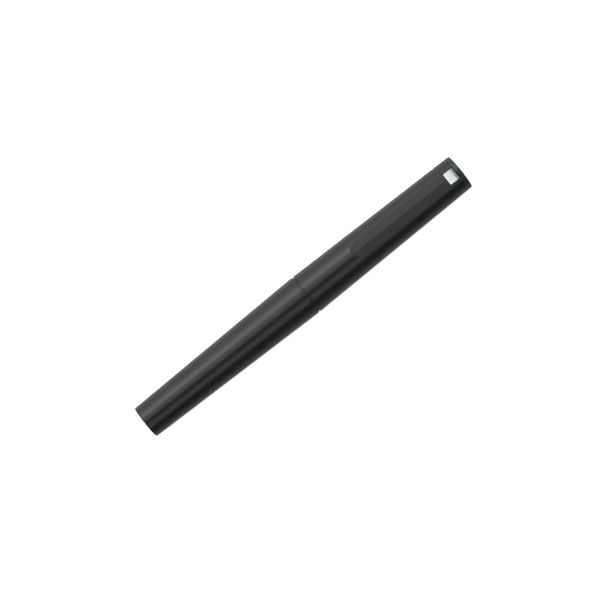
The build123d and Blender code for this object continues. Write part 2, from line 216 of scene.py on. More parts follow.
def lathe(name, corners, setback=0.08, sides=SIDES, carve=None):
    """Turn a closed outline of corners into a solid; carve(x, r, angle) thins it locally."""
    verts = []
    rings = []
    for x, r in rounded(corners, setback):
        if r == 0:
            rings.append([len(verts)] * sides)
            verts.append((x, 0, 0))
            continue
        rings.append(list(range(len(verts), len(verts) + sides)))
        for side in range(sides):
            angle = 2 * math.pi * side / sides
            at = r - carve(x, r, angle) if carve else r
            verts.append((x, at * math.sin(angle), at * math.cos(angle)))
    faces = []
    for index, ring_points in enumerate(rings):
        after = rings[(index + 1) % len(rings)]
        for side in range(sides):
            other = (side + 1) % sides
            face = [ring_points[side], ring_points[other], after[other], after[side]]
            face = [v for place, v in enumerate(face) if v != face[place - 1]]
            if len(face) > 2:
                faces.append(face)
    return new_object(name, verts, outward(verts, faces))


def thread_ridge(name, x, length, pitch, root_r, crest_r, root_width, crest_width, per_turn=64):
    """A right-handed screw ridge that sinks back into its root over the last part of a turn."""
    steps = int(per_turn * length / pitch)
    run_out = per_turn // 3
    verts = []
    for step in range(steps + 1):
        angle = 2 * math.pi * step / per_turn
        rise = min(1.0, step / run_out, (steps - step) / run_out)
        crest = root_r + (crest_r - root_r) * max(rise, 0.05)
        centre = x + pitch * step / per_turn
        half_crest = crest_width / 2
        section = [
            (-root_width / 2, root_r),
            (-half_crest, crest - (crest - root_r) * 0.12),
            (-half_crest * 0.6, crest),
            (half_crest * 0.6, crest),
            (half_crest, crest - (crest - root_r) * 0.12),
            (root_width / 2, root_r),
        ]
        for along, r in section:
            verts.append((centre + along, -r * math.sin(angle), r * math.cos(angle)))
    columns = 6
    faces = loop_faces(steps + 1, columns, closed=False)
    faces.append(list(reversed(range(columns))))
    faces.append(list(range(len(verts) - columns, len(verts))))
    return new_object(name, verts, outward(verts, faces))


def o_ring(name, x, centre_r, section_r, points=24):
    """A moulded ring of round section with a fine parting line round its outside."""
    verts = []
    for side in range(SIDES):
        angle = 2 * math.pi * side / SIDES
        for k in range(points):
            a = 2 * math.pi * k / points
            flash = PARTING_LINE if k == 0 else 0.0
            r = centre_r + (section_r - PARTING_LINE + flash) * math.cos(a)
            along = (section_r - PARTING_LINE) * math.sin(a)
            verts.append((x + along, r * math.sin(angle), r * math.cos(angle)))
    return new_object(name, verts, outward(verts, loop_faces(SIDES, points, closed=True)))


def coil(name, x, length, turns, coil_r, wire_r, end_pitch, per_turn=40, points=12):
    """A compression spring whose first and last turns lie closed against their neighbours."""
    steps = int(turns * per_turn)
    open_pitch = (length - 2 * end_pitch) / (turns - 2)
    verts = []
    for step in range(steps + 1):
        turn = step / per_turn
        along = min(turn, 1.0) * end_pitch
        along += min(max(turn - 1.0, 0.0), turns - 2.0) * open_pitch
        along += max(turn - turns + 1.0, 0.0) * end_pitch
        angle = 2 * math.pi * turn
        for k in range(points):
            a = 2 * math.pi * k / points
            r = coil_r + wire_r * math.cos(a)
            here = x + along + wire_r * math.sin(a)
            verts.append((here, -r * math.sin(angle), r * math.cos(angle)))
    faces = loop_faces(steps + 1, points, closed=False)
    faces.append(list(reversed(range(points))))
    faces.append(list(range(len(verts) - points, len(verts))))
    return new_object(name, verts, outward(verts, faces))


# ======================= materials =======================


def node_tree(name):
    """A new material with its shader, tree and object coordinates."""
    material = bpy.data.materials.new(name)
    material.use_nodes = True
    tree = material.node_tree
    shader = tree.nodes["Principled BSDF"]
    place = tree.nodes.new("ShaderNodeTexCoord").outputs["Object"]
    return material, tree, shader, place


def stretched(tree, place, scale):
    """The coordinates scaled along each axis."""
    mapping = tree.nodes.new("ShaderNodeMapping")
    mapping.inputs["Scale"].default_value = scale
    tree.links.new(place, mapping.inputs["Vector"])
    return mapping.outputs["Vector"]


def noise(tree, vector, scale, detail=4.0, rough=0.55):
    """A noise texture's value."""
    texture = tree.nodes.new("ShaderNodeTexNoise")
    texture.inputs["Scale"].default_value = scale
    texture.inputs["Detail"].default_value = detail
    texture.inputs["Roughness"].default_value = rough
    tree.links.new(vector, texture.inputs["Vector"])
    return texture.outputs["Fac"]


def between(tree, value, low_value, high_value, start=0.3, end=0.7):
    """A value that runs from start to end, mapped between two limits."""
    span = tree.nodes.new("ShaderNodeMapRange")
    span.inputs["From Min"].default_value = start
    span.inputs["From Max"].default_value = end
    span.inputs["To Min"].default_value = low_value
    span.inputs["To Max"].default_value = high_value
    tree.links.new(value, span.inputs["Value"])
    return span.outputs["Result"]


def two_tone(tree, value, dark, light, start=0.3, end=0.7):
    """Blend two colours by a value."""
    mix = tree.nodes.new("ShaderNodeMix")
    mix.data_type = "RGBA"
    mix.inputs[6].default_value = (*dark, 1)
    mix.inputs[7].default_value = (*light, 1)
    tree.links.new(between(tree, value, 0, 1, start, end), mix.inputs[0])
    return mix.outputs[2]


def bump(tree, shader, value, height_mm, strength=1.0, under=None):
    """Add a bump of a real height to the shader."""
    node = tree.nodes.new("ShaderNodeBump")
    node.inputs["Distance"].default_value = height_mm * MM
    node.inputs["Strength"].default_value = strength
    tree.links.new(value, node.inputs["Height"])
    if under is not None:
        tree.links.new(under, node.inputs["Normal"])
    tree.links.new(node.outputs["Normal"], shader.inputs["Normal"])
    return node.outputs["Normal"]


def satin_black(name, tone, rough):
    """Polished black moulding: faint mottling, fine orange peel, hairline marks along the pen."""
    material, tree, shader, place = node_tree(name)
    shader.inputs["IOR"].default_value = 1.5
    cloud = noise(tree, place, 260.0, 5.0)
    grain = noise(tree, place, 5200.0, 3.0)
    hairs = noise(tree, stretched(tree, place, (90.0, 2600.0, 2600.0)), 1.0, 6.0, 0.7)
    dark = tuple(0.88 * c for c in tone)
    light = tuple(1.12 * c for c in tone)
    tree.links.new(two_tone(tree, cloud, dark, light), shader.inputs["Base Color"])
    tree.links.new(between(tree, hairs, rough - 0.025, rough + 0.03), shader.inputs["Roughness"])
    low_bump = bump(tree, shader, grain, 0.001, 0.6)
    bump(tree, shader, hairs, 0.0007, 0.5, low_bump)
    return material


def matte_black(name, tone, rough, grain_mm=0.12, height_mm=0.006):
    """Spark-textured moulding with fine grain."""
    material, tree, shader, place = node_tree(name)
    grain = noise(tree, place, 1 / (grain_mm * MM), 4.0, 0.6)
    cloud = noise(tree, place, 320.0, 3.0)
    light = tuple(1.35 * c for c in tone)
    tree.links.new(two_tone(tree, cloud, tone, light), shader.inputs["Base Color"])
    tree.links.new(between(tree, grain, rough - 0.05, rough + 0.08), shader.inputs["Roughness"])
    bump(tree, shader, grain, height_mm, 0.8)
    return material


def turned_metal(name, tone, rough, height_mm=0.0015):
    """Lathe-turned metal: fine rings round the pen's axis, slightly uneven colour."""
    material, tree, shader, place = node_tree(name)
    shader.inputs["Metallic"].default_value = 1.0
    rings = noise(tree, stretched(tree, place, (14000.0, 120.0, 120.0)), 1.0, 5.0, 0.65)
    cloud = noise(tree, place, 700.0, 3.0)
    dark = tuple(0.86 * c for c in tone)
    tree.links.new(two_tone(tree, cloud, dark, tone), shader.inputs["Base Color"])
    tree.links.new(between(tree, rings, rough * 0.7, rough * 1.35), shader.inputs["Roughness"])
    bump(tree, shader, rings, height_mm, 0.7)
    return material


def brushed_inlay(name, barrel_end_painted_light, cap_end_painted_shade, painted_shade_strip, rough):
    """Satin sheet metal brushed across the pen, with painted shading: lighter at the barrel's end,
    darker towards the cap's end, and a painted dark strip past the crease at the cap's end.
    """
    material, tree, shader, place = node_tree(name)
    shader.inputs["Metallic"].default_value = 1.0
    split = tree.nodes.new("ShaderNodeSeparateXYZ")
    tree.links.new(place, split.inputs[0])
    start = low("bright_inlay") * MM
    end = high("bright_inlay") * MM
    crease = end - INLAY_STRIP * MM
    fade = 0.45 * MM
    # Painted shading: the plate's colour runs from lighter at the barrel's end to darker at the
    # cap's end.
    shade = two_tone(tree, split.outputs["X"], barrel_end_painted_light, cap_end_painted_shade, start, end)
    # Painted shade: the sloped stretch past the crease is coloured dark, standing in for its dim
    # reflection.
    painted_shade_mix = tree.nodes.new("ShaderNodeMix")
    painted_shade_mix.data_type = "RGBA"
    beyond_crease = between(tree, split.outputs["X"], 0, 1, crease, crease + fade)
    tree.links.new(beyond_crease, painted_shade_mix.inputs[0])
    tree.links.new(shade, painted_shade_mix.inputs[6])
    painted_shade_mix.inputs[7].default_value = (*painted_shade_strip, 1)
    shade = painted_shade_mix.outputs[2]
    cloud = noise(tree, place, 900.0, 3.0)
    worn = tree.nodes.new("ShaderNodeMix")
    worn.data_type = "RGBA"
    worn.blend_type = "MULTIPLY"
    worn.inputs[0].default_value = 1.0
    tree.links.new(shade, worn.inputs[6])
    tree.links.new(two_tone(tree, cloud, (0.95, 0.95, 0.95), (1, 1, 1)), worn.inputs[7])
    tree.links.new(worn.outputs[2], shader.inputs["Base Color"])
    strokes = noise(tree, stretched(tree, place, (9000.0, 260.0, 260.0)), 1.0, 5.0, 0.7)
    tree.links.new(between(tree, strokes, rough - 0.05, rough + 0.07), shader.inputs["Roughness"])
    bump(tree, shader, strokes, 0.0005, 0.5)
    return material


def rubber(name, tone):
    """Soft black elastomer with a dusty bloom."""
    material, tree, shader, place = node_tree(name)
    bloom = noise(tree, place, 900.0, 5.0)
    grain = noise(tree, place, 9000.0, 3.0)
    light = tuple(1.8 * c for c in tone)
    tree.links.new(two_tone(tree, bloom, tone, light), shader.inputs["Base Color"])
    tree.links.new(between(tree, grain, 0.55, 0.75), shader.inputs["Roughness"])
    bump(tree, shader, grain, 0.003, 0.7)
    return material


def clear_plastic(name, tone, transmission, rough):
    """Thin translucent moulding, slightly clouded."""
    material, tree, shader, place = node_tree(name)
    shader.inputs["Transmission Weight"].default_value = transmission
    shader.inputs["IOR"].default_value = 1.49
    cloud = noise(tree, place, 220.0, 4.0)
    flow = noise(tree, stretched(tree, place, (60.0, 500.0, 500.0)), 1.0, 3.0)
    dark = tuple(0.9 * c for c in tone)
    tree.links.new(two_tone(tree, cloud, dark, tone), shader.inputs["Base Color"])
    tree.links.new(between(tree, flow, rough - 0.06, rough + 0.1), shader.inputs["Roughness"])
    bump(tree, shader, flow, 0.0012, 0.5)
    return material


BLACK = (0.0042, 0.0042, 0.0045)
LOOKS = {
    "black_shell": satin_black("black_shell", BLACK, 0.2),
    "black_plug": satin_black("black_plug", (0.011, 0.011, 0.0115), 0.33),
    "trim_ring": satin_black("trim_ring", (0.004, 0.004, 0.004), 0.3),
    "section_plastic": matte_black("section_plastic", (0.014, 0.014, 0.015), 0.42),
    "point_plastic": matte_black("point_plastic", (0.03, 0.03, 0.032), 0.34, 0.2, 0.002),
    "liner_plastic": matte_black("liner_plastic", (0.22, 0.22, 0.225), 0.45, 0.25, 0.003),
    "vent_plastic": clear_plastic("vent_plastic", (0.82, 0.82, 0.78), 0.25, 0.4),
    "width_ring": matte_black("width_ring", (0.62, 0.56, 0.07), 0.3, 0.25, 0.002),
    "cartridge_plastic": clear_plastic("cartridge_plastic", (0.85, 0.86, 0.84), 0.75, 0.28),
    "seal_rubber": rubber("seal_rubber", (0.012, 0.012, 0.012)),
    "thread_brass": turned_metal("thread_brass", (0.78, 0.56, 0.26), 0.3),
    "weight_brass": turned_metal("weight_brass", (0.74, 0.53, 0.25), 0.34),
    "polished_steel": turned_metal("polished_steel", (0.72, 0.72, 0.73), 0.2, 0.0008),
    "spring_steel": turned_metal("spring_steel", (0.55, 0.55, 0.56), 0.3, 0.0008),
    # Painted light and shade on one plate: a lit barrel end, a shaded cap end and a dark strip.
    "bright_inlay": brushed_inlay(
        "bright_inlay", (0.71, 0.73, 0.735), (0.56, 0.58, 0.59), (0.25, 0.28, 0.29), 0.3
    ),
}
SLOT_OF = {entry["node"]: entry["material_slot"] for entry in frame["record"]["subparts"]}
BODY_OF = {}
for body_name, members in frame["record"]["behaviour"]["bodies"].items():
    for member in members:
        BODY_OF[member] = body_name


def goes_with(piece, node):
    """Finish a piece as part of a CAD node, and let it ride on that node's body."""
    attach(piece, BODY_OF[node])
    piece.data.materials.append(LOOKS[SLOT_OF[node]])
    return piece


def stands_for(piece, node):
    """Let a piece replace a CAD node."""
    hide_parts(node)
    return goes_with(piece, node)


# ======================= barrel =======================

barrel_corners = [
    (BARREL_END, PLUG_SEAT_R, 0.12),
    (BARREL_END, BARREL_END_R, 0.42),
    (BARREL_FRONT, BARREL_FRONT_R, 0.07),
    (BARREL_FRONT, MOUTH_R, 0.1),
    (BORE_STEP_X, MOUTH_R),
    (BORE_STEP_X, BORE_FRONT_R),
    (BARREL_END + PLUG_DEPTH, BORE_REAR_R),
    (BARREL_END + PLUG_DEPTH, PLUG_SEAT_R),
]
stands_for(lathe("barrel_tube", barrel_corners), "barrel_shell")

# The plug's face is dished, with a low moulding gate in its middle.
PLUG_FACE = low("barrel_end_plug")
PLUG_R = radius("barrel_end_plug")
PLUG_O_RING_R = 0.35
PLUG_GROOVE = low("end_plug_o_ring") + PLUG_O_RING_R
PLUG_GROOVE_R = 3.85
PLUG_GROOVE_HALF = 0.55
PLUG_CUP_X = BARREL_END + 2.0
PLUG_CUP_R = 3.4
plug_corners = [
    (PLUG_FACE + 0.2, 0),
    (PLUG_FACE + 0.2, 0.35, 0.05),
    (PLUG_FACE + 0.38, 0.5, 0.1),
    (PLUG_FACE + 0.3, 3.1, 0.4),
    (PLUG_FACE, 3.6, 0.2),
    (PLUG_FACE, PLUG_R - 0.22, 0.1),
    (PLUG_FACE + 0.22, PLUG_R, 0.1),
    (PLUG_GROOVE - PLUG_GROOVE_HALF, PLUG_R),
    (PLUG_GROOVE - PLUG_GROOVE_HALF, PLUG_GROOVE_R),
    (PLUG_GROOVE + PLUG_GROOVE_HALF, PLUG_GROOVE_R),
    (PLUG_GROOVE + PLUG_GROOVE_HALF, PLUG_R),
    (BARREL_END + PLUG_DEPTH, PLUG_R, 0.2),
    (BARREL_END + PLUG_DEPTH, PLUG_CUP_R, 0.2),
    (PLUG_CUP_X, PLUG_CUP_R, 0.4),
    (PLUG_CUP_X, 0),
]
stands_for(lathe("barrel_plug", plug_corners), "barrel_end_plug")
stands_for(o_ring("plug_o_ring", PLUG_GROOVE, 4.22, PLUG_O_RING_R), "end_plug_o_ring")

# The bush and the grip section carry ridges of one profile, half a pitch apart.
INSERT_ROOT_R = 5.95
INSERT_CREST_R = 5.5
THREAD_START = -7.4
RIDGE_SINK = 0.05
RIDGE_WIDTHS = (0.62, 0.25)
insert_start = low("barrel_thread_insert")
insert_end = high("barrel_thread_insert")
insert_corners = [
    (insert_start, INSERT_ROOT_R, 0.15),
    (insert_start, MOUTH_R, 0.1),
    (insert_end, MOUTH_R, 0.1),
    (insert_end, INSERT_ROOT_R, 0.2),
]
stands_for(lathe("thread_bush", insert_corners), "barrel_thread_insert")
goes_with(
    thread_ridge(
        "thread_bush_ridge",
        THREAD_START - PITCH / 2,
        5 * PITCH,
        PITCH,
        INSERT_ROOT_R + RIDGE_SINK,
        INSERT_CREST_R,
        *RIDGE_WIDTHS,
    ),
    "barrel_thread_insert",
)

# ======================= grip section =======================

CORE_R = 5.35
CORE_CREST_R = 5.82
SPIGOT_R = 6.1
SPIGOT_END = 11.6
SEAL_X = (low("barrel_seal_ring") + high("barrel_seal_ring")) / 2
CLUTCH_X = (low("cap_grip_ring") + high("cap_grip_ring")) / 2
RING_BACK = low("trim_ring")
RING_FRONT = high("trim_ring")
RING_R = radius("trim_ring") - 0.1
COLLAR_R = 6.3
O_RING_R = 0.5
GROOVE_HALF = 0.6
SEAL_GROOVE_R = 5.3
CLUTCH_GROOVE_R = 5.17
SECTION_REAR = low("grip_section")
NOSE_END = high("grip_section")
GRIP_START = 13.0
GRIP_END = 36.0
GRIP_REAR_R = 5.6
GRIP_FRONT_R = 4.6
GRIP_GROOVES = 7
GRIP_GROOVE_START = 18.0
GRIP_GROOVE_GAP = 2.2
GRIP_GROOVE_R = 0.3
NOSE_R = 4.4
CARTRIDGE_BORE_R = 4.3
POINT_BORE_R = 3.2
POINT_SEAT = 18.0


def grip_grooves():
    """Corners of the round-bottomed grip grooves, from the collar towards the point."""
    corners = []
    for index in range(GRIP_GROOVES):
        x = GRIP_GROOVE_START + GRIP_GROOVE_GAP * index
        r = straight_taper(x, GRIP_START, GRIP_REAR_R, GRIP_END, GRIP_FRONT_R) + 0.05
        for angle in (190, 222, 254, 286, 318, 350):
            a = math.radians(angle)
            along = GRIP_GROOVE_R * math.cos(a)
            corners.append((x + along, r + GRIP_GROOVE_R * math.sin(a), 0.03))
    return corners


section_corners = [
    (SECTION_REAR, CARTRIDGE_BORE_R, 0.1),
    (SECTION_REAR, CORE_R - 0.3),
    (SECTION_REAR + 0.3, CORE_R),
    (SEAL_X - GROOVE_HALF, CORE_R),
    (SEAL_X - GROOVE_HALF, SEAL_GROOVE_R),
    (SEAL_X + GROOVE_HALF, SEAL_GROOVE_R),
    (SEAL_X + GROOVE_HALF, CORE_R),
    (RING_BACK, CORE_R),
    (RING_BACK, COLLAR_R),
    (RING_FRONT, COLLAR_R),
    (RING_FRONT, SPIGOT_R, 0.15),
    (CLUTCH_X - GROOVE_HALF, SPIGOT_R),
    (CLUTCH_X - GROOVE_HALF, CLUTCH_GROOVE_R),
    (CLUTCH_X + GROOVE_HALF, CLUTCH_GROOVE_R),
    (CLUTCH_X + GROOVE_HALF, SPIGOT_R),
    (SPIGOT_END, SPIGOT_R, 0.3),
    (GRIP_START, GRIP_REAR_R, 0.6),
    *grip_grooves(),
    (GRIP_END, GRIP_FRONT_R, 0.15),
    (GRIP_END + 0.3, NOSE_R, 0.12),
    (NOSE_END - 0.2, NOSE_R),
    (NOSE_END, 4.2),
    (NOSE_END, POINT_BORE_R),
    (POINT_SEAT, POINT_BORE_R),
    (POINT_SEAT, CARTRIDGE_BORE_R),
]
stands_for(lathe("grip_body", section_corners, 0.07), "grip_section")
goes_with(
    thread_ridge(
        "grip_thread",
        THREAD_START,
        4.5 * PITCH,
        PITCH,
        CORE_R - RIDGE_SINK,
        CORE_CREST_R,
        *RIDGE_WIDTHS,
    ),
    "grip_section",
)

# The ring all but touches the barrel and the cap, with a narrow shadow groove by the cap's lip.
HAIRLINE = 0.008
SHADOW_WIDTH = 0.125
SHADOW_R = RING_R - 0.3
ring_low = BARREL_FRONT + HAIRLINE
ring_high = CAP_LIP - HAIRLINE
trim_corners = [
    (RING_BACK, COLLAR_R),
    (RING_BACK, COLLAR_R + 0.25),
    (ring_low, COLLAR_R + 0.3),
    (ring_low, RING_R, 0.05),
    (ring_high - SHADOW_WIDTH, RING_R, 0.04),
    (ring_high - SHADOW_WIDTH, SHADOW_R),
    (ring_high, SHADOW_R),
    (ring_high, COLLAR_R + 0.3),
    (RING_FRONT, COLLAR_R + 0.25),
    (RING_FRONT, COLLAR_R),
]
stands_for(lathe("joint_ring", trim_corners), "trim_ring")
stands_for(o_ring("mouth_o_ring", SEAL_X, 5.85, O_RING_R), "barrel_seal_ring")
stands_for(o_ring("spigot_o_ring", CLUTCH_X, 5.72, O_RING_R), "cap_grip_ring")

# ======================= drawing point =======================

STEM_R = 3.15
WAIST_R = 2.5
WAIST_START = 22.0
WAIST_END = 33.0
CONE_START = 39.6
CONE_R = 4.3
CONE_BAND = 0.8
CONE_END = high("point_body")
FLUTES = 18
FLUTE_RUN = 2.4
FLUTE_DEPTH = 0.13
FERRULE_SEAT = low("needle_ferrule")
FERRULE_R = 1.0
CHAMBER_START = 32.5
CHAMBER_END = 43.2
CHAMBER_R = 1.25
CHAMBER_REAR_R = 1.6
WIRE_BORE_R = 0.55


def collar_flutes(x, r, angle):
    """Shallow finger flutes round the cone's collar, for unscrewing the point."""
    if not CONE_START + 0.05 < x < CONE_START + FLUTE_RUN or r < 3.3:
        return 0.0
    fade = math.sin(math.pi * (x - CONE_START) / (FLUTE_RUN + 0.05))
    return FLUTE_DEPTH * fade * (0.5 + 0.5 * math.cos(FLUTES * angle))


cone_corners = [
    (WAIST_START, CHAMBER_REAR_R),
    (WAIST_START, WAIST_R),
    (WAIST_END, WAIST_R),
    (WAIST_END, STEM_R),
    (CONE_START, STEM_R),
    (CONE_START, CONE_R, 0.1),
    *[(CONE_START + 0.2 * k, CONE_R, 0) for k in range(1, 4)],
    (CONE_START + CONE_BAND, CONE_R, 0.2),
    *[(CONE_START + CONE_BAND + 0.25 * k, CONE_R - 2.8 * 0.25 * k / 6.6, 0) for k in range(1, 8)],
    (CONE_END, 1.5, 0.1),
    (CONE_END, FERRULE_R),
    (FERRULE_SEAT, FERRULE_R),
    (FERRULE_SEAT, WIRE_BORE_R),
    (CHAMBER_END, WIRE_BORE_R),
    (CHAMBER_END, CHAMBER_R),
    (CHAMBER_START, CHAMBER_R),
    (CHAMBER_START, CHAMBER_REAR_R),
]
stands_for(lathe("point_cone", cone_corners, 0.05, 144, collar_flutes), "point_body")

vent_start = low("vent_spiral")
vent_end = high("vent_spiral")
VENT_R = 2.72
VENT_CREST_R = 3.12
vent_corners = [
    (vent_start, WAIST_R),
    (vent_start, VENT_R),
    (vent_end, VENT_R),
    (vent_end, WAIST_R),
]
stands_for(lathe("vent_sleeve", vent_corners, 0.04, FINE_SIDES), "vent_spiral")
goes_with(
    thread_ridge("vent_channel", vent_start + 0.6, 8.4, 1.2, 2.7, VENT_CREST_R, 0.6, 0.5),
    "vent_spiral",
)

nipple_start = low("point_retainer")
NIPPLE_R = 1.42
FEED_R = 0.7
RETAINER_END = 30.0
RETAINER_R = 1.55
RETAINER_SHOULDER = WAIST_START - 0.05
retainer_corners = [
    (nipple_start, FEED_R),
    (nipple_start, 1.1),
    (nipple_start + 0.5, NIPPLE_R),
    (POINT_SEAT, NIPPLE_R, 0.2),
    (POINT_SEAT, STEM_R),
    (RETAINER_SHOULDER, STEM_R),
    (RETAINER_SHOULDER, RETAINER_R),
    (RETAINER_END, RETAINER_R),
    (RETAINER_END, FEED_R),
]
stands_for(lathe("chamber_stopper", retainer_corners, 0.08, FINE_SIDES), "point_retainer")

band_start = low("line_width_ring")
band_end = high("line_width_ring")
BAND_R = 4.35
band_corners = [
    (band_start, STEM_R),
    (band_start, BAND_R, 0.12),
    (band_end, BAND_R, 0.12),
    (band_end, STEM_R),
]
stands_for(lathe("width_band", band_corners, 0.04, MID_SIDES), "line_width_ring")

NEEDLE_R = 0.45
NEEDLE_TIP_R = 0.3
NEEDLE_BORE_R = 0.15
ferrule_corners = [
    (FERRULE_SEAT, NEEDLE_R),
    (FERRULE_SEAT, FERRULE_R),
    (CONE_END, FERRULE_R),
    (CONE_END, 1.35),
    (CONE_END + 0.3, 1.35, 0.1),
    (CONE_END + 1.5, 0.8, 0.15),
    (CONE_END + 1.5, NEEDLE_R),
]
stands_for(lathe("needle_collar", ferrule_corners, 0.04, SMALL_SIDES), "needle_ferrule")

needle_start = low("needle_tube")
needle_tip = high("needle_tube")
needle_corners = [
    (needle_start, NEEDLE_BORE_R),
    (needle_start, NEEDLE_R),
    (50.6, NEEDLE_R, 0.15),
    (51.1, NEEDLE_TIP_R, 0.15),
    (needle_tip, NEEDLE_TIP_R, 0.06),
    (needle_tip, NEEDLE_BORE_R, 0.02),
]
stands_for(lathe("needle_barrel", needle_corners, 0.02, FINE_SIDES), "needle_tube")

weight_rear = low("cleaning_weight")
weight_front = high("cleaning_weight")
WEIGHT_R = 1.1
weight_corners = [
    (weight_rear, 0),
    (weight_rear, WEIGHT_R, 0.2),
    (weight_front - 0.6, WEIGHT_R, 0.2),
    (weight_front, 0.5, 0.1),
    (weight_front, 0),
]
stands_for(lathe("drop_weight", weight_corners, 0.05, FINE_SIDES), "cleaning_weight")
wire_end = high("cleaning_wire")
STRAND_R = 0.09
wire_corners = [
    (weight_front, 0),
    (weight_front, STRAND_R),
    (wire_end, STRAND_R, 0.03),
    (wire_end, 0),
]
stands_for(lathe("wire_strand", wire_corners, 0.02, 24), "cleaning_wire")

# ======================= ink cartridge =======================

CARTRIDGE_REAR = low("ink_cartridge")
CARTRIDGE_R = radius("ink_cartridge")
CARTRIDGE_WALL = 0.65
NECK_END = high("ink_cartridge")
NECK_R = 2.6
NECK_BORE_R = 1.95
NECK_LIP_R = NECK_R - 0.1
BUSH_BORE_R = 1.48
inner_r = CARTRIDGE_R - CARTRIDGE_WALL
cartridge_corners = [
    (CARTRIDGE_REAR, 0),
    (CARTRIDGE_REAR, CARTRIDGE_R, 0.6),
    (5.5, CARTRIDGE_R, 0.5),
    (7.2, NECK_R, 0.4),
    (NECK_END - 0.8, NECK_R),
    (NECK_END - 0.6, NECK_LIP_R),
    (NECK_END, NECK_LIP_R),
    (NECK_END, NECK_BORE_R),
    (6.8, NECK_BORE_R, 0.3),
    (5.2, inner_r, 0.4),
    (CARTRIDGE_REAR + CARTRIDGE_WALL, inner_r, 0.5),
    (CARTRIDGE_REAR + CARTRIDGE_WALL, 0),
]
stands_for(lathe("ink_bottle", cartridge_corners, 0.06, MID_SIDES), "ink_cartridge")
bush_start = low("cartridge_seal")
bush_end = high("cartridge_seal")
bush_corners = [
    (bush_start, BUSH_BORE_R),
    (bush_start, NECK_BORE_R),
    (NECK_END, NECK_BORE_R),
    (NECK_END, NECK_R, 0.08),
    (bush_end, NECK_R, 0.12),
    (bush_end, BUSH_BORE_R, 0.2),
]
stands_for(lathe("neck_bush", bush_corners, 0.05, FINE_SIDES), "cartridge_seal")


# ======================= cap shell with its recessed panel =======================


def cap_radius(x):
    """Outer radius of the cap before the panel is cut, with a slight flare at the lip."""
    base = straight_taper(x, CAP_LIP + LIP_FLARE, CAP_TAPER_R, RIM_X, CAP_END_R + 0.02)
    at_lip = straight_taper(CAP_LIP, CAP_LIP + LIP_FLARE, CAP_TAPER_R, RIM_X, CAP_END_R + 0.02)
    near_lip = max(0.0, 1 - (x - CAP_LIP) / (LIP_FLARE + 2))
    return base + (CAP_LIP_R - at_lip) * near_lip**2


def flats(angle, ridge_r):
    """Radius of the panel's two flats at an angle round the pen; they meet at the ridge."""
    lower = ridge_r * math.cos(RIDGE_TURN - LOWER_FLAT) / math.cos(angle - LOWER_FLAT)
    upper = ridge_r * math.cos(RIDGE_TURN - UPPER_FLAT) / math.cos(angle - UPPER_FLAT)
    return min(lower, upper)


def panel_edges(r):
    """Angles at which the two flats run out into the round cap."""
    ridge_r = r - PANEL_DEPTH
    lower = LOWER_FLAT - math.acos(ridge_r * math.cos(RIDGE_TURN - LOWER_FLAT) / r)
    upper = UPPER_FLAT + math.acos(ridge_r * math.cos(RIDGE_TURN - UPPER_FLAT) / r)
    return lower, upper


def smooth_step(t):
    """Ease from 0 to 1."""
    t = min(max(t, 0.0), 1.0)
    return t * t * (3 - 2 * t)


def panel_lift(along):
    """How far the flats still stand above their full depth at a distance behind the V's tip."""
    left = 1 - min(max(along / RAMP_RUN, 0.0), 1.0)
    return (PANEL_DEPTH - STEP_DEPTH) * left**2


def cap_stations():
    """Places along the cap for the grid's rows: dense at the lip, the V's edge and the rim."""
    lip = [(CAP_LIP + dx, drop) for dx, drop in ((0, 0.08), (0.01, 0.05), (0.04, 0.015), (0.09, 0))]
    plain_rows = 42
    first = CAP_LIP + 0.5
    last = V_TIP - 0.4
    plain = [(first + (last - first) * k / plain_rows, 0) for k in range(plain_rows + 1)]
    edge = [(V_TIP - 0.04, 0), (V_TIP, 0), (V_TIP + STEP_RUN, 0), (V_TIP + STEP_RUN + 0.04, 0)]
    ramp_rows = 22
    ramp_start = edge[-1][0]
    ramp = [(ramp_start + RAMP_RUN * k / ramp_rows, 0) for k in range(1, ramp_rows + 1)]
    panel_rows = 46
    panel_start = ramp[-1][0]
    panel_run = RIM_X - 0.1 - panel_start
    panel = [(panel_start + panel_run * k / panel_rows, 0) for k in range(1, panel_rows + 1)]
    return lip + plain + edge + ramp + panel + [(RIM_X - 0.03, 0.02), (RIM_X, 0.06)]


def cap_angles(lower, upper):
    """Angles round the cap for the grid's columns: both panel edges and the ridge lie on one."""
    half = 22
    near_edge = math.radians(0.6)
    around = 130
    inner_lower = lower + near_edge
    inner_upper = upper - near_edge
    below = [inner_lower + (RIDGE_TURN - inner_lower) * k / half for k in range(half)]
    above = [RIDGE_TURN + (inner_upper - RIDGE_TURN) * k / half for k in range(half + 1)]
    rest_start = upper + near_edge
    rest = 2 * math.pi - (upper - lower) - 2 * near_edge
    outside = [rest_start + rest * k / around for k in range(around + 1)]
    return [lower] + below + above + [upper] + outside


def cap_row(x, drop):
    """One ring of the cap's outside, bent to follow the V where the V is near."""
    lower, upper = panel_edges(cap_radius(min(max(x, V_TIP), RIM_X)))
    flat_start = V_TIP + RAMP_RUN + 1
    bend = smooth_step((x - CAP_LIP - 2) / (V_TIP - CAP_LIP - 4))
    bend *= smooth_step((RIM_X - 2 - x) / (RIM_X - 2 - flat_start))
    points = []
    for angle in cap_angles(lower, upper):
        offset = (angle - RIDGE_TURN + math.pi) % (2 * math.pi) - math.pi
        half_width = upper - RIDGE_TURN if offset > 0 else RIDGE_TURN - lower
        rise = UPPER_RISE if offset > 0 else LOWER_RISE
        across = cap_radius(x) * math.sin(min(abs(offset), half_width))
        px = x + rise * across * bend
        r = cap_radius(px)
        into = px - V_TIP - rise * across
        if into > 0 and abs(offset) < half_width:
            floor_r = flats(angle, r - PANEL_DEPTH + panel_lift(px - V_TIP - RAMP_RISE * across))
            r -= max(0.0, r - floor_r) * min(1.0, into / STEP_RUN)
        r -= drop
        points.append((px, r * math.sin(angle), r * math.cos(angle)))
    return points


